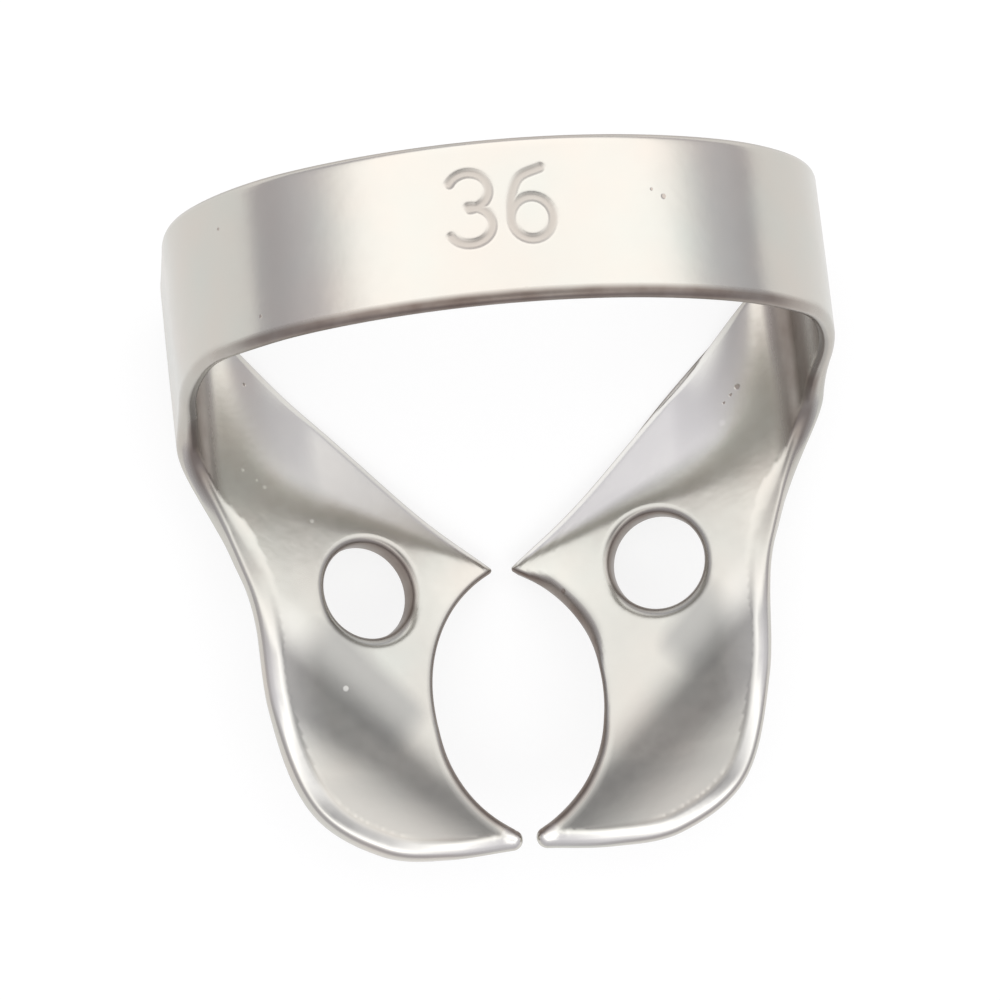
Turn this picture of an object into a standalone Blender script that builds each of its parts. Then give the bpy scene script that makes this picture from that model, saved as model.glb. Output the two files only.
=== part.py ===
"""Molar rubber dam clamp, stamped from spring steel and bent to shape.

The clamp is one strip of steel. A flat blank is drawn first: the bow strip in the middle and an arm with
its jaw at each end, each jaw with a forceps hole, a hollow gripping edge and two prongs. The blank is then
bent as in the forming tool: top arc, shoulders, side walls, a tight fold at each side, and a soft ridge
with a shallow dish beyond it across each jaw. Last, it is laid down the way it comes to rest, on the two
folds and the distal prongs.

Axes: X to the right, Y towards the back of the mouth (distal), Z up. The origin is under the middle of the
part, on the surface that it lies on.
"""
import math

import bmesh
import bpy
from mathutils import Matrix, Vector

MM = 0.001

# Flat blank, in millimetres. S runs out along the strip from the middle, W across it, towards the back.
STRIP_WIDTH = 6.1
STRIP_HALF_LENGTH = 12.0
OUTER_EDGE_START = 10.0
EDGE_ROUND = 0.3
OUTER_EDGE = ((14.7, -2.8), (20.45, -4.5), (23.3, -8.95), (24.2, -14.0), (25.6, -17.75), (28.0, -19.3),
              (30.6, -19.5))
MESIAL_PRONG = (33.0, -19.25)
DISTAL_PRONG = (32.8, -8.8)
DISTAL_EDGE = ((30.05, -6.95), (25.95, -3.2), (21.7, 0.6), (19.3, 2.1), (16.1, 2.75))
PRONG_TIP_RADIUS = 0.06
GRIP_CENTRE = (35.65, -14.1)
HOLE_CENTRE = (27.65, -9.55)
HOLE_DIAMETER = 3.65
HOLE_SIDES = 32

# Sheet thickness: ground thin along the bow, full in the jaws, growing over the walls and folds.
BOW_THICKNESS = 0.65
JAW_THICKNESS = 1.05
TAPER_START = 16.5
TAPER_END = 24.0

# Bends, from the middle outwards: length along the strip and turn in degrees.
TOP_ARC = (8.2, 31.4)
SHOULDER = (9.4, 62.3)
SIDE_WALL = (2.4, -3.6)
SIDE_FOLD = (2.4, 69.4)

# Ridge across the jaw, in front of the forceps hole, and the dish beyond it that turns part of the way
# back: a point where each starts, its heading, length and turn.
RIDGE = ((25.4, -11.5), -34.0, 2.2, -20.0)
DISH = ((23.95, -13.65), -31.0, 2.2, 7.0)

# Spacing of the edges along the bends, in degrees of turn.
ARC_STEP = 5.0
FOLD_STEP = 11.5
RIDGE_STEP = 4.1

STEEL_COLOUR = (0.60, 0.58, 0.56, 1.0)
STEEL_ROUGHNESS = 0.28


def clear_scene():
    for item in list(bpy.data.objects):
        bpy.data.objects.remove(item, do_unlink=True)


def steel():
    material = bpy.data.materials.new("satin_spring_steel")
    material.use_nodes = True
    shader = material.node_tree.nodes["Principled BSDF"]
    shader.inputs["Base Color"].default_value = STEEL_COLOUR
    shader.inputs["Metallic"].default_value = 1.0
    shader.inputs["Roughness"].default_value = STEEL_ROUGHNESS
    return material


def smooth_curve(knots, steps):
    """Points of a smooth curve through the knots, by cubic segments with tangents along the neighbours."""
    padded = [2 * knots[0] - knots[1]] + knots + [2 * knots[-1] - knots[-2]]
    points = []
    for before, start, end, after in zip(padded, padded[1:], padded[2:], padded[3:]):
        for step in range(steps):
            t = step / steps
            points.append(0.5 * (2 * start + (end - before) * t
                                 + (2 * before - 5 * start + 4 * end - after) * t * t
                                 + (3 * start - before - 3 * end + after) * t * t * t))
    points.append(knots[-1].copy())
    return points


def arc(centre, start, end, steps):
    """Points from start to end about centre, the short way round, with the radius blending between them."""
    first = start - centre
    last = end - centre
    turn = first.angle_signed(last)
    points = []
    for step in range(steps + 1):
        t = step / steps
        radius = first.length * (1 - t) + last.length * t
        ray = first.normalized()
        ray.rotate(Matrix.Rotation(-turn * t, 2))
        points.append(centre + radius * ray)
    return points


def tip(corner, before, after, radius, steps=4):
    """A small round on a prong's corner."""
    back = (before - corner).normalized()
    on = (after - corner).normalized()
    half = back.angle(on) / 2
    centre = corner + (back + on).normalized() * radius / math.sin(half)
    reach = radius / math.tan(half)
    return arc(centre, corner + back * reach, corner + on * reach, steps)


def half_outline():
    """Right half of the blank, from the middle of the bow's front edge to the middle of its back edge."""
    half_width = STRIP_WIDTH / 2 - EDGE_ROUND
    mesial = Vector(MESIAL_PRONG)
    distal = Vector(DISTAL_PRONG)
    outer = smooth_curve([Vector((OUTER_EDGE_START, -half_width))] + [Vector(p) for p in OUTER_EDGE] + [mesial], 5)
    grip = arc(Vector(GRIP_CENTRE), mesial, distal, 18)
    end = Vector((STRIP_HALF_LENGTH, half_width))
    back = smooth_curve([distal] + [Vector(p) for p in DISTAL_EDGE] + [end], 5)
    points = outer[:-1]
    points += tip(mesial, outer[-2], grip[1], PRONG_TIP_RADIUS)
    points += grip[1:-1]
    points += tip(distal, grip[-2], back[1], PRONG_TIP_RADIUS)
    points += back[1:]
    return points


def flat_blank():
    """Curve object: the whole blank as a filled outline with two holes, extruded and with rounded edges."""
    right = half_outline()
    left = [Vector((-p.x, p.y)) for p in reversed(right)]
    rings = [right + left]
    for side in (1, -1):
        radius = HOLE_DIAMETER / 2 + EDGE_ROUND
        ring = []
        for step in range(HOLE_SIDES):
            angle = 2 * math.pi * step / HOLE_SIDES
            ring.append(Vector((side * HOLE_CENTRE[0] + radius * math.cos(angle),
                                HOLE_CENTRE[1] + radius * math.sin(angle))))
        rings.append(ring)
    curve = bpy.data.curves.new("blank", "CURVE")
    curve.dimensions = "2D"
    curve.fill_mode = "BOTH"
    curve.extrude = JAW_THICKNESS / 2 - EDGE_ROUND
    curve.bevel_depth = EDGE_ROUND
    curve.bevel_resolution = 2
    for ring in rings:
        spline = curve.splines.new("POLY")
        spline.points.add(len(ring) - 1)
        for target, point in zip(spline.points, ring):
            target.co = (point.x, point.y, 0.0, 1.0)
        spline.use_cyclic_u = True
    blank = bpy.data.objects.new("blank", curve)
    bpy.context.collection.objects.link(blank)
    return blank


class Bend:
    """A bend about a straight line: sheet past the line, and further out than inner, rolls up over a length."""

    def __init__(self, point, heading, length, turn, step, inner):
        self.point = Vector((point[0], point[1], 0.0))
        self.along = Vector((math.cos(heading), math.sin(heading), 0.0))
        self.across = Vector((self.along.y, -self.along.x, 0.0))
        self.length = length
        self.turn = turn
        self.step = step
        self.inner = inner

    def apply(self, flat, place):
        past = (flat - self.point).dot(self.across)
        if past <= 0 or flat.x < self.inner:
            return place
        rolled = min(past, self.length)
        angle = self.turn * rolled / self.length
        radius = self.length / self.turn
        run = radius * math.sin(angle) + (past - rolled) * math.cos(angle)
        drop = radius * (1 - math.cos(angle)) + (past - rolled) * math.sin(angle)
        up = Vector((0.0, 0.0, 1.0))
        foot = flat + self.across * (run - past) - up * drop
        return foot + Matrix.Rotation(angle, 3, up.cross(self.across)) @ (place - flat)

    def rulings(self):
        """Points across the bend where the mesh needs an edge."""
        count = max(1, math.ceil(abs(self.turn) / self.step))
        return [self.point + self.across * self.length * k / count for k in range(count + 1)]


def bends():
    """Bends of the right half, outermost on the sheet first, so that each carries the ones before it."""
    chain = []
    start = 0.0
    for (length, turn), step in ((TOP_ARC, ARC_STEP), (SHOULDER, ARC_STEP), (SIDE_WALL, ARC_STEP),
                                 (SIDE_FOLD, FOLD_STEP)):
        chain.append(Bend((start, 0.0), math.pi / 2, length, math.radians(turn), math.radians(step), start))
        start += length
    for point, heading, length, turn in (RIDGE, DISH):
        chain.append(Bend(point, math.radians(heading), length, math.radians(turn), math.radians(RIDGE_STEP),
                          start))
    return chain[::-1]


def cut(mesh, side, bend, point):
    """Cut an edge through a point, along a bend, across the faces of one side that the bend moves."""
    region = [f for f in mesh.faces if side * f.calc_center_median().x > bend.inner]
    keep = set(region)
    for face in region:
        keep.update(face.edges)
        keep.update(face.verts)
    bmesh.ops.bisect_plane(mesh, geom=list(keep), dist=1e-5, plane_co=(side * point.x, point.y, 0.0),
                           plane_no=(side * bend.across.x, bend.across.y, 0.0))


def add_rulings(mesh, chain):
    """Cut an edge along every ruling, so that the flats between them stay flat when the sheet is bent."""
    everything = list(mesh.verts) + list(mesh.edges) + list(mesh.faces)
    bmesh.ops.bisect_plane(mesh, geom=everything, dist=1e-5, plane_co=(0, 0, 0), plane_no=(1, 0, 0))
    for side in (1, -1):
        for bend in reversed(chain):
            for point in bend.rulings():
                cut(mesh, side, bend, point)


def smooth_step(value, low, high):
    t = min(max((value - low) / (high - low), 0.0), 1.0)
    return t * t * (3 - 2 * t)


def thickness(s):
    """Sheet thickness at a distance from the middle of the strip."""
    return BOW_THICKNESS + (JAW_THICKNESS - BOW_THICKNESS) * smooth_step(s, TAPER_START, TAPER_END)


def form(mesh, chain):
    """Bend the sheet: each side is worked out as the right one and mirrored back."""
    for vert in mesh.verts:
        side = -1.0 if vert.co.x < 0 else 1.0
        s = abs(vert.co.x)
        flat = Vector((s, vert.co.y, 0.0))
        place = flat + Vector((0.0, 0.0, vert.co.z * thickness(s) / JAW_THICKNESS))
        for bend in chain:
            place = bend.apply(flat, place)
        vert.co = Vector((side * place.x, place.y, place.z))


def centre_of_mass(mesh):
    total = 0.0
    moment = Vector((0.0, 0.0, 0.0))
    for a, b, c in (tri for tri in mesh.calc_loop_triangles()):
        volume = a.vert.co.dot(b.vert.co.cross(c.vert.co)) / 6
        total += volume
        moment += volume * (a.vert.co + b.vert.co + c.vert.co) / 4
    return moment / total


def lower_hull(points):
    """Lower outline of the side view, from front to back."""
    hull = []
    for p in sorted(points):
        while len(hull) > 1:
            (ay, az), (by, bz) = hull[-2], hull[-1]
            if (by - ay) * (p[1] - az) - (bz - az) * (p[0] - ay) > 0:
                break
            hull.pop()
        hull.append(p)
    return hull


def lay_down(mesh):
    """Turn the part about X until the side-view edge under its centre of mass is level, then set it down."""
    for _ in range(6):
        centre = centre_of_mass(mesh)
        hull = lower_hull([(v.co.y, v.co.z) for v in mesh.verts])
        for (ay, az), (by, bz) in zip(hull, hull[1:]):
            if ay <= centre.y <= by:
                tilt = math.atan2(bz - az, by - ay)
        bmesh.ops.rotate(mesh, verts=mesh.verts, cent=(0, 0, 0), matrix=Matrix.Rotation(-tilt, 3, "X"))
    low_y = min(v.co.y for v in mesh.verts)
    high_y = max(v.co.y for v in mesh.verts)
    low_z = min(v.co.z for v in mesh.verts)
    bmesh.ops.translate(mesh, verts=mesh.verts, vec=(0.0, -(low_y + high_y) / 2, -low_z))


def build():
    clear_scene()
    blank = flat_blank()
    depsgraph = bpy.context.evaluated_depsgraph_get()
    data = bpy.data.meshes.new_from_object(blank.evaluated_get(depsgraph))
    bpy.data.objects.remove(blank, do_unlink=True)
    data.name = "rubber_dam_clamp"
    chain = bends()
    mesh = bmesh.new()
    mesh.from_mesh(data)
    bmesh.ops.remove_doubles(mesh, verts=mesh.verts, dist=1e-4)
    add_rulings(mesh, chain)
    bmesh.ops.triangulate(mesh, faces=[f for f in mesh.faces if len(f.verts) > 4])
    form(mesh, chain)
    bmesh.ops.triangulate(mesh, faces=mesh.faces)
    bmesh.ops.recalc_face_normals(mesh, faces=mesh.faces)
    lay_down(mesh)
    bmesh.ops.scale(mesh, vec=(MM, MM, MM), verts=mesh.verts)
    mesh.to_mesh(data)
    mesh.free()
    data.shade_smooth()
    data.set_sharp_from_angle(angle=math.radians(40.0))
    data.materials.clear()
    data.materials.append(steel())
    clamp = bpy.data.objects.new("clamp", data)
    bpy.context.collection.objects.link(clamp)


build()
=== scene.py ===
"""Finished look of a molar rubber dam clamp: satin spring steel, with its floor, light and camera."""

import math

import bpy
import numpy as np
from bpy.props import FloatProperty, FloatVectorProperty, PointerProperty
from mathutils import Matrix, Vector
from mathutils.geometry import delaunay_2d_cdt


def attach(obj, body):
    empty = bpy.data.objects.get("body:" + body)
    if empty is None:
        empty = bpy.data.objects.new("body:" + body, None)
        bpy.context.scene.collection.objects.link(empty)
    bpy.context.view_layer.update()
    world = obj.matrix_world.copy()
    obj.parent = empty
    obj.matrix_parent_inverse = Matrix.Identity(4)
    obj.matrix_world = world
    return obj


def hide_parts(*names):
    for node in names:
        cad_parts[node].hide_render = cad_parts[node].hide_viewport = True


bl_info = {
    "name": "Rubber Dam Clamp",
    "version": (1, 0, 0),
    "blender": (4, 5, 0),
    "location": "3D Viewport > Sidebar > Dam Clamp",
    "description": "Forms a stamped and bent spring steel clamp with a satin finish, and a plain studio",
    "category": "Add Mesh",
}

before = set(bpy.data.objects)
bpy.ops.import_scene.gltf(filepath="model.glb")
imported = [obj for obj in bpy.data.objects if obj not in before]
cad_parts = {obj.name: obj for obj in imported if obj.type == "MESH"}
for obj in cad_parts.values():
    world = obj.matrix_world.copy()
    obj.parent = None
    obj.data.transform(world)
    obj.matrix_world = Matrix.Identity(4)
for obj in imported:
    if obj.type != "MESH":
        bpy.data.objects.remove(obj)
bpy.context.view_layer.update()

MM = 0.001

# Flat blank in millimetres: S runs out along the strip from the middle, W across it, towards the back.
# Only the right half is drawn. Its strip is straight up to STRAIGHT_HALF, and a prong's tip is a small arc
# between two angles. Pairs called BLEND say where a change starts and where it is complete.
OUTER_EDGE = ((14.65, -3.1), (20.3, -4.75), (22.9, -9.1), (23.78, -14.15), (25.25, -18.0), (27.9, -19.72),
              (30.6, -19.93))
BACK_EDGE = ((30.31, -6.62), (26.33, -2.8), (21.95, 0.9), (19.4, 2.4), (16.1, 3.05))
STRAIGHT_HALF = 10.0
MESIAL_TIP = (33.0, -19.25)
MESIAL_TIP_RADIUS = 0.41
MESIAL_TIP_ARC = (-84.0, 63.0)
DISTAL_TIP = (33.0, -8.85)
DISTAL_TIP_RADIUS = 0.13
DISTAL_TIP_ARC = (-63.0, 54.0)
GRIP_CENTRE = (35.65, -14.1)
HOLE_CENTRE = (27.65, -9.55)

# How far the right and the left hole sit off their common place, and how far round it the sheet goes along.
HOLE_OFFSETS = {1: (-0.21, 0.14), -1: (0.22, -0.11)}
HOLE_OFFSET_BLEND = (2.2, 3.4)

# Bends from the middle outwards: length along the strip and turn in degrees.
TOP_ARC = (8.2, 31.4)
SHOULDER = (9.4, 62.3)
SIDE_WALL = (2.4, -3.6)
SIDE_FOLD = (2.4, 69.4)

# Bends across each jaw: a point of the line where it starts, its heading, its length and its turn, which
# for the dish is not the same on the right and on the left.
RIDGE = ((23.4, -9.2), -41.0, 1.6, -25.0)
DISH = ((23.95, -13.45), -32.0, 2.4)
DISH_TURNS = {1: 15.0, -1: 20.0}

# Ground crown of the arm's upper face: a fan of rays from the distal prong, as heading, spread and turn
# in degrees, the stretch of the strip over which it grows, and the least steel that it leaves.
CROWN_APEX = (33.1, -8.8)
CROWN_HEADING = 168.0
CROWN_SPREAD = 12.0
CROWN_TURNS = {1: 13.5, -1: 9.5}
CROWN_BLEND = (22.4, 26.4)
THINNEST = 0.02

# Sheet thickness grows from the bow's to the jaws' over this stretch.
TAPER_BLEND = (16.5, 24.0)

# Turn about X that lays the bent sheet on its folds and distal prongs, in degrees, and how far the bow
# leans to the right, with the heights over which it does.
LAY_TURN = -22.51
BOW_LEAN = 0.3
BOW_LEAN_BLEND = (1.0, 9.0)

# Bevel of the outer rim on the inner face, which is the inside of the bow and the upper side of the jaws,
# as width and depth: on the bow, and on the arm, where it gets shallower towards the mesial prong.
BOW_BEVEL = (0.25, 0.12)
ARM_BEVEL = (0.72, 0.39)
ARM_BLEND = (21.5, 23.5)
MESIAL_LOSS = 0.14
MESIAL_LOSS_BLEND = (12.0, 18.5)

# Width of the grip edge's bevel on the inner face, what is added at each prong, and its depth per width.
GRIP_BEVEL = 0.18
GRIP_MESIAL_EXTRA = 0.17
GRIP_MESIAL_BLEND = (14.0, 16.5)
GRIP_DISTAL_EXTRA = {1: 0.42, -1: 0.0}
GRIP_DISTAL_BLEND = (-13.5, -11.5)
GRIP_TIP_BLEND = (0.2, 1.6)
GRIP_SLOPE = 1.1

# Rounds of the rims as width and depth, on the inner and the outer face. The hole's gets wider on its
# mesial side, and the outer rim's wider along the bow and never deeper than a share of the sheet there.
INNER_ROUNDS = {"outer": (0.2, 0.2), "back": (0.25, 0.22), "hole": (0.32, 0.35)}
OUTER_ROUNDS = {"outer": (0.3, 0.3), "grip": (0.2, 0.12), "back": (0.25, 0.2), "hole": (0.3, 0.25)}
HOLE_LIP = 0.2
HOLE_LIP_BLEND = (0.0, 1.5)
FRONT_EXTRA = 0.1
FRONT_BLEND = (15.0, 19.0)
DEEPEST_SHARE = 0.7

# Mesh spacing in millimetres: along the rims, round the tips, over the faces, and where the number is.
RIM_STEP = 0.15
TIP_STEP = 0.05
FACE_STEP = 0.15
NUMBER_STEP = 0.05

# Rings of points that follow the rims inwards: how many, how far they reach round a hole, which share of
# its own distance a point must keep from every rim, and how far the plain points stay off them.
RINGS = 6
HOLE_RING_REACH = 0.54
RING_SHARE = 0.93
RIM_MARGIN = 0.06
HOLE_MARGIN = 0.6
SEAM_MARGIN = 0.04

# Boxes of the plain points and of the fine ones, as their end in S and their range in W, and the gap between.
FACE_END = 34.0
FACE_RANGE = (-20.5, 3.5)
NUMBER_END = 3.0
NUMBER_RANGE = (-1.4, 2.4)
NUMBER_MARGIN = 0.05

# Stamped number: middle of it on the strip, size of a digit, and half the width of a stroke.
NUMBER_MIDDLE = (-0.62, 0.5)
DIGIT_WIDTH = 1.6
DIGIT_HEIGHT = 2.65
DIGIT_GAP = 0.55
STROKE_HALF = 0.19
STROKE_STEPS = 28

# Raw cut edges, each as its strength and the distances from the rim over which it fades. The grip's are in
# widths of its bevel. The bow's front edge is painted shade in the cut colour, which gets weaker away from
# its middle and ends in the fold.
CUT_GRIP = (1.0, 0.4, 0.9)
CUT_HOLE = (0.9, 0.05, 0.25)
CUT_BACK = (0.7, 0.02, 0.12)
FRONT_EDGE_SHADE = (1.0, 0.25, 0.48)
FRONT_SHADE_LOSS = 0.75
FRONT_SHADE_LOSS_BLEND = (8.0, 15.0)
FRONT_SHADE_END_BLEND = (19.0, 22.0)

# Painted shade inside the fold, in the cut colour: its strength, and the stretches of the strip over which it
# comes and goes.
FOLD_SHADE = 0.8
FOLD_SHADE_BLEND = (17.5, 19.0)
FOLD_SHADE_END_BLEND = (21.0, 22.5)

# Painted highlights: the arm's back margin, by the angle past the crown's heading, the flat of the outer
# rim's bevel, and a soft margin beside it.
STRIP_HIGHLIGHT = {1: 1.0, -1: 0.5}
STRIP_ANGLE_BLEND = (8.0, 14.0)
STRIP_BLEND = (22.5, 25.5)
RIM_HIGHLIGHT = 0.85
RIM_HIGHLIGHT_BLEND = (0.12, 0.25)
RIM_HIGHLIGHT_END_BLEND = (0.5, 0.68)
RIM_HIGHLIGHT_JAW_BLEND = (9.0, 14.0)
MARGIN_HIGHLIGHT = 0.6
MARGIN_BLEND = (0.5, 0.7)
MARGIN_END_BLEND = (0.7, 2.2)
MARGIN_JAW_BLEND = (9.5, 12.5)
MARGIN_JAW_END_BLEND = (13.5, 17.0)

# Painted shade: inside the bow, on the arms, in the dish, and in a band below the hole
# that runs from there towards the mesial prong, further on the left jaw.
BOW_SHADE = 0.6
BOW_SHADE_END_BLEND = (19.0, 22.0)
BOW_SHADE_BACK_BLEND = (-0.5, 2.0)
ARM_SHADE = 0.35
ARM_SHADE_TIP_BLEND = (1.0, 5.0)
ARM_SHADE_START_BLEND = (22.0, 24.5)
ARM_SHADE_RIM_BLEND = (0.4, 1.0)
ARM_SHADE_SLANT = (0.7, -0.72)
ARM_SHADE_SLANT_BLEND = (21.0, 24.0)
DISH_SHADE = 0.65
DISH_SHADE_BLEND = (15.5, 17.5)
DISH_SHADE_RIM_BLEND = (0.7, 0.9)
BAND_SHADE = 1.25
BAND_PLACE = (26.4, -12.5)
BAND_ALONG = (0.72, -0.69)
BAND_ACROSS = (0.69, 0.72)
BAND_HALF = 1.15
BAND_BLEND = (-3.2, -0.8)
BAND_REACH = {1: 2.2, -1: 4.8}
BAND_FADE = 1.8

# Marks as side, place on the blank and radius: pits of use on the outer and inner face, and bright painted
# glints.
OUTER_PITS = ((1, (5.36, 0.65), 0.12), (1, (4.95, 0.85), 0.07), (-1, (11.7, 1.77), 0.08),
              (-1, (10.04, -2.05), 0.08))
INNER_PITS = ((1, (23.6, -3.2), 0.13), (1, (23.85, -3.5), 0.08), (1, (24.08, -3.72), 0.07),
              (-1, (23.54, -1.74), 0.08), (1, (31.1, -10.0), 0.12))
INNER_GLINTS = ((-1, (26.54, -13.28), 0.13), (-1, (23.12, -5.07), 0.08), (-1, (23.6, -5.45), 0.07),
                (-1, (23.99, -5.74), 0.1), (-1, (25.79, -6.99), 0.1), (1, (24.3, -4.5), 0.16))

# Camera of the photograph, in millimetres and degrees.
CAMERA_PLACE = (-23.54, 43.2, 270.42)
CAMERA_AIM = (-0.16, -0.54, 4.0)
CAMERA_ROLL = 3.65
CAMERA_LENS = 259.0

# Tones of the light tent from its low side to its high one: the faintly lilac walls and the white top.
WALL_TONES = ((0.0, 0.5), (0.42, 0.42), (0.52, 0.33), (0.62, 0.33), (0.76, 0.42))
TOP_TONES = ((0.81, 0.72), (0.85, 1.0), (1.0, 1.0))

# The tent's gap lies only where the cosine of the angle to the lens is above this.
GAP_FRONT = 0.3

# Half the floor's side, in metres.
FLOOR_HALF = 0.6


def curve_through(knots, steps):
    """Points of a smooth curve through the knots, by cubic segments with tangents along the neighbours."""
    knots = np.array(knots, float)
    padded = np.vstack([2 * knots[0] - knots[1], knots, 2 * knots[-1] - knots[-2]])
    t = np.linspace(0, 1, steps, endpoint=False)[:, None]
    points = []
    for before, start, end, after in zip(padded, padded[1:], padded[2:], padded[3:]):
        points.append(0.5 * (2 * start + (end - before) * t
                             + (2 * before - 5 * start + 4 * end - after) * t ** 2
                             + (3 * start - before - 3 * end + after) * t ** 3))
    return np.vstack(points + [knots[-1:]])


def arc_points(centre, radius, start, end, count):
    """Points on a circle between two angles in degrees, or on an ellipse if two radii are given."""
    angle = np.radians(np.linspace(start, end, count))
    return np.array(centre) + np.array(radius) * np.column_stack([np.cos(angle), np.sin(angle)])


def spiral_arc(centre, start, end, count):
    """Points about a centre from one point to another, with the radius blending between theirs."""
    centre, start, end = np.array(centre), np.array(start), np.array(end)
    first, last = start - centre, end - centre
    angles = np.unwrap([math.atan2(first[1], first[0]), math.atan2(last[1], last[0])])
    t = np.linspace(0, 1, count)
    radius = np.hypot(*first) * (1 - t) + np.hypot(*last) * t
    angle = angles[0] * (1 - t) + angles[1] * t
    return centre + radius[:, None] * np.column_stack([np.cos(angle), np.sin(angle)])


def respaced(points, step):
    """The same line with points at an even spacing."""
    run = np.concatenate([[0], np.cumsum(np.hypot(*np.diff(points, axis=0).T))])
    count = max(2, int(round(run[-1] / step)) + 1)
    at = np.linspace(0, run[-1], count)
    return np.column_stack([np.interp(at, run, points[:, 0]), np.interp(at, run, points[:, 1])])


def distance_to(points, line):
    """Distance from each point to a line of straight pieces, worked out for some points at a time."""
    start, step = line[:-1], np.diff(line, axis=0)
    length = np.maximum((step ** 2).sum(1), 1e-12)
    nearest = np.full(len(points), np.inf)
    batch = 4000
    for k in range(0, len(points), batch):
        p = points[k:k + batch, None, :] - start[None]
        t = np.clip((p * step).sum(2) / length, 0, 1)
        gap = p - t[..., None] * step
        nearest[k:k + batch] = np.sqrt((gap ** 2).sum(2).min(1))
    return nearest


def smooth_step(x, low, high):
    """From 0 up to 1 over a stretch."""
    t = np.clip((x - low) / (high - low), 0, 1)
    return t * t * (3 - 2 * t)


def fade(x, low, high):
    """From 1 down to 0 over a stretch."""
    return 1 - smooth_step(x, low, high)


def edge_round(distance, reach, depth):
    """Drop of an elliptical round at a distance from the rim."""
    t = np.clip(distance / reach, 0, 1)
    return depth * (1 - np.sqrt(1 - (1 - t) ** 2))


def soft_bevel(distance, reach, depth):
    """Drop of a nearly flat bevel with a short blend into the face."""
    return depth * np.clip(1 - distance / reach, 0, 1) ** 1.2


class Sheet:
    """Right half of the blank: its rims, its thickness, and how far each face drops towards the rims."""

    def __init__(self, sizes):
        half = sizes.strip_width / MM / 2
        self.bow_thickness = sizes.bow_thickness / MM
        self.jaw_thickness = sizes.jaw_thickness / MM
        mesial = arc_points(MESIAL_TIP, MESIAL_TIP_RADIUS, *MESIAL_TIP_ARC, 24)
        distal = arc_points(DISTAL_TIP, DISTAL_TIP_RADIUS, *DISTAL_TIP_ARC, 10)
        outer = curve_through([(0.0, -half), (STRAIGHT_HALF, -half), *OUTER_EDGE, tuple(mesial[0])], 24)
        grip = spiral_arc(GRIP_CENTRE, mesial[-1], distal[0], 90)
        back = curve_through([tuple(distal[-1]), *BACK_EDGE, (STRAIGHT_HALF, half), (0.0, half)], 24)
        radius = sizes.hole_diameter / MM / 2
        sides = int(2 * math.pi * radius / RIM_STEP)
        self.rims = {
            "outer": np.vstack([respaced(outer, RIM_STEP), respaced(mesial, TIP_STEP)[1:]]),
            "grip": respaced(grip, RIM_STEP),
            "back": np.vstack([respaced(distal, TIP_STEP)[:-1], respaced(back, RIM_STEP)]),
            "hole": arc_points(HOLE_CENTRE, radius, 0, 360, sides + 1),
        }
        self.outline = np.vstack([self.rims["outer"], self.rims["grip"][1:], self.rims["back"][1:]])
        self.hole_radius = np.hypot(*(self.rims["hole"][0] - HOLE_CENTRE))

    def distances(self, flat):
        """Distance from each point to each rim."""
        return {name: distance_to(flat, line) for name, line in self.rims.items()}

    def thickness(self, flat):
        grown = smooth_step(flat[:, 0], *TAPER_BLEND)
        return self.bow_thickness + (self.jaw_thickness - self.bow_thickness) * grown

    def drops(self, flat, to_rim, side):
        """How far the inner and the outer face lie below the sheet's flat ones."""
        reach, depth = rim_bevel(flat)
        grip = grip_bevel(flat, side)
        lip = HOLE_LIP * smooth_step(HOLE_CENTRE[1] - flat[:, 1], *HOLE_LIP_BLEND)
        front = FRONT_EXTRA * fade(flat[:, 0], *FRONT_BLEND)
        spare = self.thickness(flat) - depth - INNER_ROUNDS["outer"][1]
        width, deep = OUTER_ROUNDS["outer"]
        hole_width, hole_depth = INNER_ROUNDS["hole"]
        bevel = soft_bevel(to_rim["outer"], reach, depth)
        inner = (bevel + edge_round(to_rim["outer"], *INNER_ROUNDS["outer"]),
                 edge_round(to_rim["grip"], grip, GRIP_SLOPE * grip),
                 edge_round(to_rim["back"], *INNER_ROUNDS["back"]),
                 edge_round(to_rim["hole"], hole_width + lip, hole_depth))
        outer = (edge_round(to_rim["outer"], width + front, np.minimum(deep, DEEPEST_SHARE * spare)),
                 *(edge_round(to_rim[rim], *OUTER_ROUNDS[rim]) for rim in ("grip", "back", "hole")))
        return [np.sqrt(sum(drop ** 2 for drop in face)) for face in (inner, outer)]


def rim_bevel(flat):
    """Reach and depth of the bevel along the outer rim, on the inner face."""
    arm = smooth_step(flat[:, 0], *ARM_BLEND)
    mesial = smooth_step(-flat[:, 1], *MESIAL_LOSS_BLEND) * arm
    reach, depth = (bow + (full - bow) * arm for bow, full in zip(BOW_BEVEL, ARM_BEVEL))
    return reach, depth - MESIAL_LOSS * mesial


def grip_bevel(flat, side):
    """Width of the bevel along the grip edge, wider at the mesial prong and at the right distal one."""
    mesial = smooth_step(-flat[:, 1], *GRIP_MESIAL_BLEND)
    distal = smooth_step(flat[:, 1], *GRIP_DISTAL_BLEND) * smooth_step(from_tip(flat), *GRIP_TIP_BLEND)
    return GRIP_BEVEL + GRIP_MESIAL_EXTRA * mesial + GRIP_DISTAL_EXTRA[side] * distal


def from_tip(flat):
    """Distance from each point to the distal prong's tip."""
    return np.hypot(*(flat - DISTAL_TIP).T)


def hex_points(low, high, step):
    """Evenly spaced points of a honeycomb pattern in a box."""
    rows = np.arange(low[1], high[1], step * math.sqrt(3) / 2)
    columns = np.arange(low[0], high[0], step)
    grid = np.stack(np.meshgrid(columns, rows), -1)
    grid[1::2, :, 0] += step / 2
    return grid.reshape(-1, 2)


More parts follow.
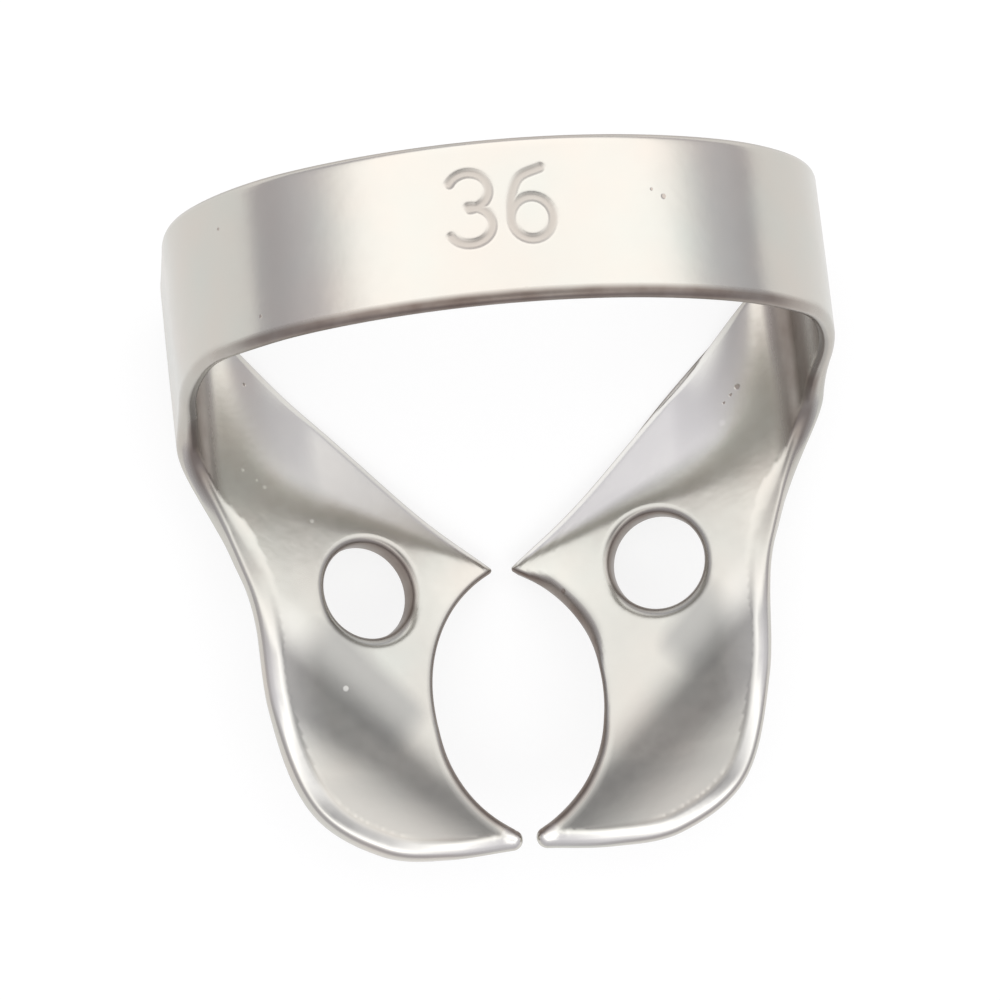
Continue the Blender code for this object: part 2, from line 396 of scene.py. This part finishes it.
def digit_strokes():
    """Centre lines of the stamped number, each a list of points in digit widths and heights."""
    three = [arc_points((0.48, 0.745), (0.46, 0.255), 150, -90, STROKE_STEPS),
             arc_points((0.46, 0.26), (0.5, 0.26), 90, -150, STROKE_STEPS)]
    six = [arc_points((0.5, 0.3), (0.47, 0.3), 0, 360, STROKE_STEPS),
           curve_through([(0.03, 0.3), (0.08, 0.6), (0.3, 0.88), (0.78, 1.0)], 8)]
    return three, six


def stamp_depth(flat):
    """From 0 to 1, how deep the stamped number is at each point of the strip."""
    middle = np.array(NUMBER_MIDDLE)
    size = np.array([DIGIT_WIDTH, DIGIT_HEIGHT])
    near = np.abs(flat - middle).max(1) < DIGIT_HEIGHT
    gap = np.full(len(flat), np.inf)
    if near.any():
        for place, digit in zip((-1, 1), digit_strokes()):
            shift = np.array([place * (DIGIT_WIDTH + DIGIT_GAP) / 2, 0])
            for stroke in digit:
                line = stroke * size + middle + shift - size / 2
                gap[near] = np.minimum(gap[near], distance_to(flat[near], line))
    return fade(gap, 0.25 * STROKE_HALF, 1.25 * STROKE_HALF)


def ring_shares():
    """How far in each ring of points lies, from 0 at the rim to 1, closest together at the rim."""
    return 1 - np.cos(math.pi / 2 * np.arange(1, RINGS + 1) / RINGS)


def rim_rings(sheet):
    """Rings of points that follow the outline and the hole inwards."""
    reach, _ = rim_bevel(sheet.outline)
    along = np.gradient(sheet.outline, axis=0)
    inward = np.column_stack([-along[:, 1], along[:, 0]]) / np.hypot(*along.T)[:, None]
    spokes = (sheet.rims["hole"][:-1] - np.array(HOLE_CENTRE)) / sheet.hole_radius
    rings = []
    for share in ring_shares():
        ring = sheet.outline + inward * (reach * share)[:, None]
        clear = distance_to(ring, sheet.outline) > RING_SHARE * reach * share
        rings.append(ring[clear & (ring[:, 0] > SEAM_MARGIN)])
        rings.append(np.array(HOLE_CENTRE) + spokes * (sheet.hole_radius + HOLE_RING_REACH * share))
    return np.vstack(rings)


def plain_points(sheet):
    """Evenly spaced points between the rings, close together where the number is."""
    grid = hex_points((FACE_STEP / 2, FACE_RANGE[0]), (FACE_END, FACE_RANGE[1]), FACE_STEP)
    fine = hex_points((NUMBER_STEP / 2, NUMBER_RANGE[0]), (NUMBER_END, NUMBER_RANGE[1]), NUMBER_STEP)
    grid = grid[(grid[:, 0] > NUMBER_END + NUMBER_MARGIN) | (grid[:, 1] < NUMBER_RANGE[0] - NUMBER_MARGIN)
                | (grid[:, 1] > NUMBER_RANGE[1] + NUMBER_MARGIN)]
    points = np.vstack([grid, fine])
    reach, _ = rim_bevel(points)
    return points[is_inside(points, sheet) & (distance_to(points, sheet.outline) > reach + RIM_MARGIN)
                  & (distance_to(points, sheet.rims["hole"]) > HOLE_MARGIN)]


def seam_points(sheet):
    """Points of the middle line from the back rim to the outer one, where the two halves meet."""
    reach, _ = rim_bevel(sheet.outline[-1:])
    near_rim = sheet.outline[-1, 1] - reach * ring_shares()
    gap = 0.8 * FACE_STEP
    fine = np.arange(*NUMBER_RANGE, NUMBER_STEP)
    front = np.arange(gap - near_rim[-1], NUMBER_RANGE[0] - NUMBER_MARGIN, FACE_STEP)
    back = np.arange(NUMBER_RANGE[1] + NUMBER_MARGIN, near_rim[-1] - gap / 2, FACE_STEP)
    across = np.concatenate([-near_rim, front, fine, back, near_rim[::-1]])[::-1]
    return np.column_stack([np.zeros(len(across)), across])


def half_mesh(sheet):
    """Flat points and triangles of the right half, fine along the rims and where the number is."""
    loop = np.vstack([sheet.outline, seam_points(sheet)])
    hole = sheet.rims["hole"][:-1]
    points = np.vstack([loop, hole, rim_rings(sheet), plain_points(sheet)])
    edges = [(i, (i + 1) % len(loop)) for i in range(len(loop))]
    edges += [(len(loop) + i, len(loop) + (i + 1) % len(hole)) for i in range(len(hole))]
    found = delaunay_2d_cdt([Vector(point) for point in points], edges, [], 1, 1e-6)
    flat = np.array([tuple(point) for point in found[0]])
    triangles = np.array(found[2])
    middle = flat[triangles].mean(1)
    outside_hole = np.hypot(*(middle - HOLE_CENTRE).T) > 0.999 * sheet.hole_radius
    return flat, triangles[outside_hole]


def is_inside(points, sheet):
    """Which points are inside the right half's outline and outside its hole."""
    loop = sheet.outline
    count = np.zeros(len(points), int)
    for (ax, ay), (bx, by) in zip(loop, np.roll(loop, -1, axis=0)):
        if ay == by:
            continue
        crosses = (ay > points[:, 1]) != (by > points[:, 1])
        x = ax + (points[:, 1] - ay) / (by - ay) * (bx - ax)
        count += crosses & (points[:, 0] < x)
    away = np.hypot(*(points - HOLE_CENTRE).T) > sheet.hole_radius
    return (count % 2 == 1) & away & (points[:, 0] > 0)


def bend(flat, place, point, heading, length, turn, inner):
    """Roll the sheet past a line up over a length; only what lies further out than inner moves."""
    along = np.array([math.cos(heading), math.sin(heading), 0.0])
    across = np.array([along[1], -along[0], 0.0])
    past = (flat - (point[0], point[1], 0.0)) @ across
    moved = (past > 0) & (flat[:, 0] >= inner)
    rolled = np.minimum(past, length)
    angle = turn * rolled / length
    radius = length / turn
    run = radius * np.sin(angle) + (past - rolled) * np.cos(angle)
    drop = radius * (1 - np.cos(angle)) + (past - rolled) * np.sin(angle)
    offset = place - flat
    out = offset @ across
    up = offset[:, 2]
    side = offset @ along
    new = (flat + np.outer(run - past, across) + np.outer(side, along)
           + np.outer(out * np.cos(angle) + up * np.sin(angle), across))
    new[:, 2] += up * np.cos(angle) - out * np.sin(angle) - drop
    return np.where(moved[:, None], new, place)


def hole_shifted(flat, side):
    """The flat points with the hole of one side, and the sheet just round it, moved to its own place."""
    away = np.hypot(*(flat - HOLE_CENTRE).T)
    return flat + fade(away, *HOLE_OFFSET_BLEND)[:, None] * HOLE_OFFSETS[side]


def bend_all(flat, height, side):
    """Place of each point of one half, drawn as the right one, once every bend is made."""
    flat = np.column_stack([flat, np.zeros(len(flat))])
    place = flat.copy()
    place[:, 2] = height
    chain = []
    start = 0.0
    for length, turn in (TOP_ARC, SHOULDER, SIDE_WALL, SIDE_FOLD):
        chain.append(((start, 0.0), math.pi / 2, length, math.radians(turn), start))
        start += length
    for point, heading, length, turn in (RIDGE, (*DISH, DISH_TURNS[side])):
        chain.append((point, math.radians(heading), length, math.radians(turn), start))
    for step in reversed(chain):
        place = bend(flat, place, *step)
    return place


def crown_angle(flat):
    """Length of the ray from the crown's apex to each point, and its angle past the crown's heading."""
    ray = flat - np.array(CROWN_APEX)
    heading = np.arctan2(ray[:, 1], ray[:, 0]) % (2 * math.pi)
    return np.hypot(*ray.T), math.radians(CROWN_HEADING) - heading


def crown(flat, side):
    """How far the ground crown lowers one arm's upper face towards its back margin."""
    away, past = crown_angle(flat)
    past = np.maximum(past, 0.0)
    spread = math.radians(CROWN_SPREAD)
    turned = np.minimum(past, spread)
    grown = smooth_step(flat[:, 0], *CROWN_BLEND)
    return (away * math.radians(CROWN_TURNS[side]) * grown
            * (turned * turned / (2 * spread) + past - turned))


def laid_down(points):
    """Turn the bent sheet into its rest position on the floor and centre it, in millimetres."""
    turn = math.radians(LAY_TURN)
    y = points[:, 1] * math.cos(turn) - points[:, 2] * math.sin(turn)
    z = points[:, 1] * math.sin(turn) + points[:, 2] * math.cos(turn)
    z -= z.min()
    x = points[:, 0] + BOW_LEAN * smooth_step(z, *BOW_LEAN_BLEND)
    return np.column_stack([x, y - (y.min() + y.max()) / 2, z])


def cut_edges_and_front_shade(flat, to_rim, side):
    """How raw the steel is along its punched edges, the grip, the hole and the back rim, and the painted
    shade on the bow's front edge.
    """
    strength, start, end = CUT_GRIP
    grip = grip_bevel(flat, side)
    raw_and_shade = [strength * fade(to_rim["grip"], start * grip, end * grip)]
    for rim, (strength, start, end) in (("hole", CUT_HOLE), ("back", CUT_BACK), ("outer", FRONT_EDGE_SHADE)):
        raw_and_shade.append(strength * fade(to_rim[rim], start, end))
    loss = FRONT_SHADE_LOSS * smooth_step(flat[:, 0], *FRONT_SHADE_LOSS_BLEND)
    # The bow's front edge is painted shade, weaker away from its middle.
    raw_and_shade[-1] = raw_and_shade[-1] * (1 - loss) * fade(flat[:, 0], *FRONT_SHADE_END_BLEND)
    return np.maximum.reduce(raw_and_shade)


def fold_shade(flat):
    """How much painted shade lies on the inner face inside the fold."""
    return FOLD_SHADE * smooth_step(flat[:, 0], *FOLD_SHADE_BLEND) * fade(flat[:, 0], *FOLD_SHADE_END_BLEND)


def painted_highlight(flat, to_rim, side):
    """How strong the painted highlight is on the inner face, on the arm's back margin and along the jaw's
    outer rim.
    """
    across = -flat[:, 1]
    away = to_rim["outer"]
    _, past = crown_angle(flat)
    strip = smooth_step(np.degrees(past), *STRIP_ANGLE_BLEND) * smooth_step(flat[:, 0], *STRIP_BLEND)
    rim = smooth_step(away, *RIM_HIGHLIGHT_BLEND) * fade(away, *RIM_HIGHLIGHT_END_BLEND)
    rim = rim * smooth_step(across, *RIM_HIGHLIGHT_JAW_BLEND)
    margin = smooth_step(away, *MARGIN_BLEND) * fade(away, *MARGIN_END_BLEND)
    margin = margin * smooth_step(across, *MARGIN_JAW_BLEND) * fade(across, *MARGIN_JAW_END_BLEND)
    return np.maximum.reduce([STRIP_HIGHLIGHT[side] * strip, RIM_HIGHLIGHT * rim, MARGIN_HIGHLIGHT * margin])


def painted_shade(flat, to_rim, side):
    """How much painted shade lies on the inner face, inside the bow, on the arms and in parts of the jaws."""
    away = to_rim["outer"]
    bow = fade(flat[:, 0], *BOW_SHADE_END_BLEND) * fade(flat[:, 1], *BOW_SHADE_BACK_BLEND)
    arm = smooth_step(from_tip(flat), *ARM_SHADE_TIP_BLEND) * smooth_step(flat[:, 0], *ARM_SHADE_START_BLEND)
    arm = arm * smooth_step(away, *ARM_SHADE_RIM_BLEND)
    arm = arm * smooth_step(flat @ ARM_SHADE_SLANT, *ARM_SHADE_SLANT_BLEND)
    dish = smooth_step(-flat[:, 1], *DISH_SHADE_BLEND) * smooth_step(away, *DISH_SHADE_RIM_BLEND)
    from_band = flat - np.array(BAND_PLACE)
    along, across = from_band @ BAND_ALONG, from_band @ BAND_ACROSS
    reach = BAND_REACH[side]
    band = np.minimum(BAND_SHADE * np.exp(-(across / BAND_HALF) ** 2), 1)
    band = band * smooth_step(along, *BAND_BLEND) * fade(along, reach - BAND_FADE, reach)
    return np.maximum.reduce([BOW_SHADE * bow, ARM_SHADE * arm, DISH_SHADE * dish, band])


def shell_faces(triangles, on_seam):
    """Triangles of both halves: outer face, inner face, and the walls between them along the rims."""
    count = len(on_seam)
    number = np.arange(4 * count)
    number[2 * count:3 * count][on_seam] = np.arange(count)[on_seam]
    number[3 * count:][on_seam] = np.arange(count, 2 * count)[on_seam]
    directed = np.vstack([triangles[:, [0, 1]], triangles[:, [1, 2]], triangles[:, [2, 0]]])
    known = {tuple(edge) for edge in directed}
    rim = np.array([(a, b) for a, b in known if (b, a) not in known and not (on_seam[a] and on_seam[b])])
    faces = []
    for first in (0, 2 * count):
        near, far = rim.T + first
        shell = np.vstack([triangles + first, triangles[:, ::-1] + first + count,
                           np.column_stack([far, near, near + count]),
                           np.column_stack([far, near + count, far + count])])
        faces.append(shell[:, ::-1] if first else shell)
    return number[np.vstack(faces)]


def placed_marks(marks, face, vertices, flat):
    """Centres and radii in metres of marks on the outer face, 0, or on the inner one, 1."""
    placed = []
    for side, place, radius in marks:
        block = face if side > 0 else face + 2
        nearest = np.hypot(*(flat - place).T).argmin()
        placed.append((vertices[block * len(flat) + nearest], radius * MM))
    return placed


def clamp_mesh(sizes):
    """Vertices and faces of the clamp, in metres in the part's frame, its surface layers, pits and painted
    glints.
    """
    sheet = Sheet(sizes)
    flat, triangles = half_mesh(sheet)
    to_rim = sheet.distances(flat)
    half = sheet.thickness(flat) / 2
    clean = np.zeros(len(flat))
    vertices = []
    layers = {"stamp": [], "cut": [], "dull": [], "bright": []}
    for side in (1, -1):
        inner_drop, outer_drop = sheet.drops(flat, to_rim, side)
        stamp = stamp_depth(flat * (side, 1))
        outer = half - outer_drop - sizes.number_depth / MM * stamp
        inner = np.minimum(inner_drop + crown(flat, side) - half, outer - THINNEST)
        for height in (outer, inner):
            vertices.append(bend_all(hole_shifted(flat, side), height, side) * (side, 1, 1))
        cut = cut_edges_and_front_shade(flat, to_rim, side)
        layers["stamp"] += [stamp, clean]
        # The inner face's cut layer also carries the painted shade inside the fold.
        layers["cut"] += [cut, np.maximum(cut, fold_shade(flat))]
        # Painted shade on the inner face.
        layers["dull"] += [clean, painted_shade(flat, to_rim, side)]
        # Painted highlights on the inner face.
        layers["bright"] += [clean, painted_highlight(flat, to_rim, side)]
    vertices = laid_down(np.vstack(vertices)) * MM
    pits = placed_marks(OUTER_PITS, 0, vertices, flat) + placed_marks(INNER_PITS, 1, vertices, flat)
    glints = placed_marks(INNER_GLINTS, 1, vertices, flat)
    faces = shell_faces(triangles, flat[:, 0] < 1e-6)
    used, faces = np.unique(faces, return_inverse=True)
    layers = {name: np.concatenate(values)[used] for name, values in layers.items()}
    return vertices[used], faces.reshape(-1, 3), layers, pits, glints


class Wire:
    """A shader socket that takes part in Python expressions; each operator adds its Math node."""

    def __init__(self, graph, socket):
        self.graph = graph
        self.socket = socket

    def maths(self, operation, *values):
        return self.graph.node("ShaderNodeMath", {"operation": operation}, dict(enumerate(values)))

    def __add__(self, other):
        return self.maths("ADD", self, other)

    __radd__ = __add__

    def __sub__(self, other):
        return self.maths("SUBTRACT", self, other)

    def __rsub__(self, other):
        return self.maths("SUBTRACT", other, self)

    def __mul__(self, other):
        return self.maths("MULTIPLY", self, other)

    __rmul__ = __mul__

    def __truediv__(self, other):
        return self.maths("DIVIDE", self, other)

    def __rpow__(self, other):
        return self.maths("POWER", other, self)

    def __gt__(self, other):
        return self.maths("GREATER_THAN", self, other)

    def larger(self, other):
        return self.maths("MAXIMUM", self, other)

    def smaller(self, other):
        return self.maths("MINIMUM", self, other)


class Graph:
    """Node tree of a material or a world, built by one method."""

    def __init__(self, owner):
        owner.use_nodes = True
        self.tree = owner.node_tree
        self.tree.nodes.clear()

    def node(self, kind, settings=None, inputs=None, output=0):
        """Add a node, with its settings first and then the values or links of its sockets."""
        made = self.tree.nodes.new(kind)
        for name, value in (settings or {}).items():
            if name == "stops":
                ramp = made.color_ramp
                while len(ramp.elements) < len(value):
                    ramp.elements.new(0.5)
                for stop, (place, colour) in zip(ramp.elements, value):
                    stop.position = place
                    stop.color = colour
            else:
                setattr(made, name, value)
        for key, value in (inputs or {}).items():
            if isinstance(value, Wire):
                self.tree.links.new(value.socket, made.inputs[key])
            else:
                made.inputs[key].default_value = value
        return Wire(self, made.outputs[output]) if made.outputs else None

    def noise(self, place, scale, detail, roughness):
        """Noise over the surface, with its scale in turns per metre."""
        return self.node("ShaderNodeTexNoise", None,
                         {"Vector": place, "Scale": scale, "Detail": detail, "Roughness": roughness})

    def mixed(self, share, first, second):
        """Colour that turns from the first to the second with the share."""
        return self.node("ShaderNodeMix", {"data_type": "RGBA"}, {0: share, 6: first, 7: second}, output=2)


def grey(value):
    return (value, value, value, 1.0)


def lilac(value):
    return (value, value * 0.985, value * 1.05, 1.0)


def spotted(graph, place, spots):
    """From 0 to 1, how far a point lies inside one of the spots."""
    inside = 0.0
    for middle, radius in spots:
        away = graph.node("ShaderNodeVectorMath", {"operation": "DISTANCE"},
                          {0: place, 1: tuple(middle)}, output="Value")
        inside = (1.0 - away / radius).larger(inside)
    return (inside * 2.5).smaller(1.0)


def satin_steel(steel, pits, glints):
    """Tumbled and polished spring steel: soft sheen, faint tints, fine waviness, small pits, and painted
    shade, highlights and glints.
    """
    material = bpy.data.materials.new("satin_spring_steel")
    graph = Graph(material)
    place = graph.node("ShaderNodeTexCoord", output="Object")
    tint = graph.noise(place, 260.0, 2.0, 0.5)
    grain = graph.noise(place, 2600.0, 4.0, 0.6)
    patch = graph.noise(place, 700.0, 3.0, 0.55)
    stamp, cut, dull, bright = (graph.node("ShaderNodeAttribute", {"attribute_name": name}, output="Fac")
                                for name in ("stamp", "cut", "dull", "bright"))
    pitted = spotted(graph, place, pits)
    glinted = spotted(graph, place, glints)
    colour = graph.mixed(tint, steel.warm_colour, steel.cool_colour)
    # Painted shade over the steel's own tints.
    colour = graph.mixed(dull, colour, steel.shade_colour)
    # Painted highlights.
    colour = graph.mixed(bright, colour, steel.highlight_colour)
    # Painted glints.
    colour = graph.mixed(glinted * 0.55, colour, steel.highlight_colour)
    colour = graph.mixed(stamp * 0.6 + pitted * 0.9, colour, steel.stamp_colour)
    # Raw cut edges, and painted shade on the bow's front edge and inside the fold.
    colour = graph.mixed(cut * (0.5 + 0.6 * patch), colour, steel.cut_and_shade_colour)
    rough = steel.roughness - 0.05 + 0.08 * patch + 0.05 * grain + 0.2 * stamp + 0.15 * cut
    wave = graph.node("ShaderNodeBump", None, {"Strength": 0.35, "Distance": 2.0e-5, "Height": patch})
    bump = graph.node("ShaderNodeBump", None,
                      {"Strength": 0.3, "Distance": 4.0e-6, "Height": grain - pitted * 8.0, "Normal": wave})
    shader = graph.node("ShaderNodeBsdfPrincipled", None,
                        {"Base Color": colour, "Metallic": 1.0, "Roughness": rough, "Normal": bump})
    graph.node("ShaderNodeOutputMaterial", None, {"Surface": shader})
    return material


def link(name, data):
    made = bpy.data.objects.new(name, data)
    bpy.context.scene.collection.objects.link(made)
    return made


class ClampSizes(bpy.types.PropertyGroup):
    """Sizes of the clamp."""
    strip_width: FloatProperty(name="Strip width", description="Width of the bow's strip",
                               default=6.1 * MM, unit="LENGTH", precision=5)
    bow_thickness: FloatProperty(name="Bow thickness", description="Sheet thickness along the bow",
                                 default=0.65 * MM, unit="LENGTH", precision=5)
    jaw_thickness: FloatProperty(name="Jaw thickness", description="Sheet thickness of the jaws",
                                 default=1.05 * MM, unit="LENGTH", precision=5)
    hole_diameter: FloatProperty(name="Hole diameter", description="Diameter of the forceps holes",
                                 default=3.65 * MM, unit="LENGTH", precision=5)
    number_depth: FloatProperty(name="Number depth", description="Depth of the stamped number",
                                default=0.06 * MM, unit="LENGTH", precision=6)


class SteelFinish(bpy.types.PropertyGroup):
    """Colour and gloss of the steel."""
    warm_colour: FloatVectorProperty(name="Warm tint", description="Steel colour where it looks warm",
                                     subtype="COLOR", size=4, default=(0.62, 0.55, 0.495, 1.0))
    cool_colour: FloatVectorProperty(name="Cool tint", description="Steel colour where it looks cool",
                                     subtype="COLOR", size=4, default=(0.54, 0.565, 0.53, 1.0))
    stamp_colour: FloatVectorProperty(name="Stamp tint", description="Colour of stamped number and pits",
                                      subtype="COLOR", size=4, default=(0.42, 0.37, 0.33, 1.0))
    # Colour of the painted shade.
    shade_colour: FloatVectorProperty(name="Painted shade tint", description="Colour of the painted shade",
                                     subtype="COLOR", size=4, default=(0.33, 0.325, 0.31, 1.0))
    # Colour of the painted highlights and glints.
    highlight_colour: FloatVectorProperty(name="Painted highlight tint", description="Colour of the painted highlights",
                                       subtype="COLOR", size=4, default=(0.93, 0.915, 0.88, 1.0))
    # Colour of the raw cut edges and of the painted shade on the bow's front edge and inside the fold.
    cut_and_shade_colour: FloatVectorProperty(name="Cut and shade tint", description="Colour of the punched edges and of painted shade",
                                    subtype="COLOR", size=4, default=(0.17, 0.125, 0.105, 1.0))
    roughness: FloatProperty(name="Roughness", description="Roughness of the satin finish",
                             default=0.2, min=0.0, max=1.0)


class StudioLook(bpy.types.PropertyGroup):
    """Floor and light of the studio."""
    floor_colour: FloatVectorProperty(name="Floor colour", description="Colour of the plain floor",
                                      subtype="COLOR", size=4, default=(0.27, 0.27, 0.27, 1.0))
    floor_light: FloatProperty(name="Floor light", description="White light that is added where it is seen",
                               default=0.765, min=0.0)
    tent_strength: FloatProperty(name="Tent strength", description="Brightness of the white light tent",
                                 default=1.76, min=0.0)
    tent_lean: FloatVectorProperty(name="Tent lean", description="Lean of the tent to the right and up",
                                   size=2, default=(0.15, 0.25))
    gap_centre: FloatVectorProperty(name="Gap centre", description="Middle of the tent's gap, right and up",
                                    size=2, default=(0.174, -0.225))
    gap_size: FloatVectorProperty(name="Gap size", description="Reach of the gap sideways, up and down",
                                  size=3, default=(0.49, 0.42, 0.15))
    gap_light: FloatProperty(name="Gap light", description="Brightness of the tent's gap",
                             default=0.14, min=0.0)


class FormClamp(bpy.types.Operator):
    """Form the clamp's finished steel body in place of the plain one"""
    bl_idname = "dam_clamp.form_clamp"
    bl_label = "Form Clamp"

    def execute(self, context):
        vertices, faces, layers, pits, glints = clamp_mesh(context.scene.clamp_sizes)
        mesh = bpy.data.meshes.new("clamp_steel")
        mesh.from_pydata(vertices.tolist(), [], faces.tolist())
        mesh.validate()
        mesh.shade_smooth()
        for name, values in layers.items():
            layer = mesh.attributes.new(name, "FLOAT", "POINT")
            layer.data.foreach_set("value", values.astype(np.float32))
        mesh.materials.append(satin_steel(context.scene.steel_finish, pits, glints))
        body = link("clamp_steel", mesh)
        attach(body, "root")
        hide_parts("clamp")
        return {"FINISHED"}


def camera_axes():
    """Directions to the right, up and back towards the lens, as the camera sees them."""
    back = (Vector(CAMERA_PLACE) - Vector(CAMERA_AIM)).normalized()
    level = Vector((0, 1, 0)).cross(back).normalized()
    right = Matrix.Rotation(math.radians(-CAMERA_ROLL), 3, back) @ level
    return right, back.cross(right), back


def tent(world, look):
    """White light tent: bright round the lens, with a soft dark gap near it and darker low walls."""
    graph = Graph(world)
    direction = graph.node("ShaderNodeTexCoord", output="Generated")
    across, above, behind = camera_axes()
    middle = (behind + across * look.tent_lean[0] + above * look.tent_lean[1]).normalized()
    right, up, back, rise = (graph.node("ShaderNodeVectorMath", {"operation": "DOT_PRODUCT"},
                                        {0: direction, 1: tuple(axis)}, output="Value")
                             for axis in (across, above, behind, middle))
    stops = [(place, lilac(tone)) for place, tone in WALL_TONES]
    stops += [(place, grey(tone)) for place, tone in TOP_TONES]
    height = graph.node("ShaderNodeValToRGB", {"stops": stops}, {"Fac": rise * 0.5 + 0.5})
    wide = (right - look.gap_centre[0]) / look.gap_size[0]
    over, under = ((up - look.gap_centre[1]) / size for size in (look.gap_size[1], -look.gap_size[2]))
    high = over.larger(under)
    gap = math.exp(-1) ** (wide * wide + high * high) * (back > GAP_FRONT)
    colour = graph.mixed(gap, height, lilac(look.gap_light))
    shade = graph.node("ShaderNodeBackground", None, {"Color": colour, "Strength": look.tent_strength})
    graph.node("ShaderNodeOutputWorld", None, {"Surface": shade})


def pale_floor(look):
    """Matt white floor that keeps the shadow, a little lifted where the camera or a reflection sees it."""
    material = bpy.data.materials.new("pale_floor")
    graph = Graph(material)
    matt = graph.node("ShaderNodeBsdfDiffuse", None, {"Color": look.floor_colour})
    seen = sum(graph.node("ShaderNodeLightPath", output=ray)
               for ray in ("Is Camera Ray", "Is Glossy Ray", "Is Transmission Ray"))
    lift = graph.node("ShaderNodeEmission", None, {"Color": grey(1.0), "Strength": seen * look.floor_light})
    both = graph.node("ShaderNodeAddShader", None, {0: matt, 1: lift})
    graph.node("ShaderNodeOutputMaterial", None, {"Surface": both})
    return material


class SetStudio(bpy.types.Operator):
    """Set the floor, the light tent and the camera"""
    bl_idname = "dam_clamp.set_studio"
    bl_label = "Set Studio"

    def execute(self, context):
        look = context.scene.studio_look
        floor = bpy.data.meshes.new("floor")
        corners = [(x * FLOOR_HALF, y * FLOOR_HALF, 0) for x, y in ((-1, -1), (1, -1), (1, 1), (-1, 1))]
        floor.from_pydata(corners, [], [(0, 1, 2, 3)])
        floor.materials.append(pale_floor(look))
        link("floor", floor)
        world = bpy.data.worlds.new("light_tent")
        context.scene.world = world
        tent(world, look)
        camera = bpy.data.cameras.new("camera")
        camera.lens = CAMERA_LENS
        camera.clip_start = 0.01
        viewer = link("camera", camera)
        turned = Matrix(camera_axes()).transposed()
        viewer.matrix_world = Matrix.Translation(Vector(CAMERA_PLACE) * MM) @ turned.to_4x4()
        context.scene.camera = viewer
        context.scene.view_settings.view_transform = "Standard"
        return {"FINISHED"}


class ClampPanel(bpy.types.Panel):
    """Sizes and finish of the clamp, and its steps"""
    bl_idname = "VIEW3D_PT_dam_clamp"
    bl_label = "Dam Clamp"
    bl_space_type = "VIEW_3D"
    bl_region_type = "UI"
    bl_category = "Dam Clamp"

    def draw(self, context):
        layout = self.layout
        for group in (context.scene.clamp_sizes, context.scene.steel_finish, context.scene.studio_look):
            column = layout.column(align=True)
            for name in group.__annotations__:
                column.prop(group, name)
        for step in STEPS:
            layout.operator(step.bl_idname)


STEPS = (FormClamp, SetStudio)
GROUPS = {"clamp_sizes": ClampSizes, "steel_finish": SteelFinish, "studio_look": StudioLook}


def register():
    for item in (*GROUPS.values(), *STEPS, ClampPanel):
        bpy.utils.register_class(item)
    for name, group in GROUPS.items():
        setattr(bpy.types.Scene, name, PointerProperty(type=group))


def unregister():
    for name in GROUPS:
        delattr(bpy.types.Scene, name)
    for item in (ClampPanel, *reversed(STEPS), *reversed(list(GROUPS.values()))):
        bpy.utils.unregister_class(item)


def main():
    register()
    bpy.ops.dam_clamp.form_clamp()
    bpy.ops.dam_clamp.set_studio()


if __name__ == "__main__":
    main()
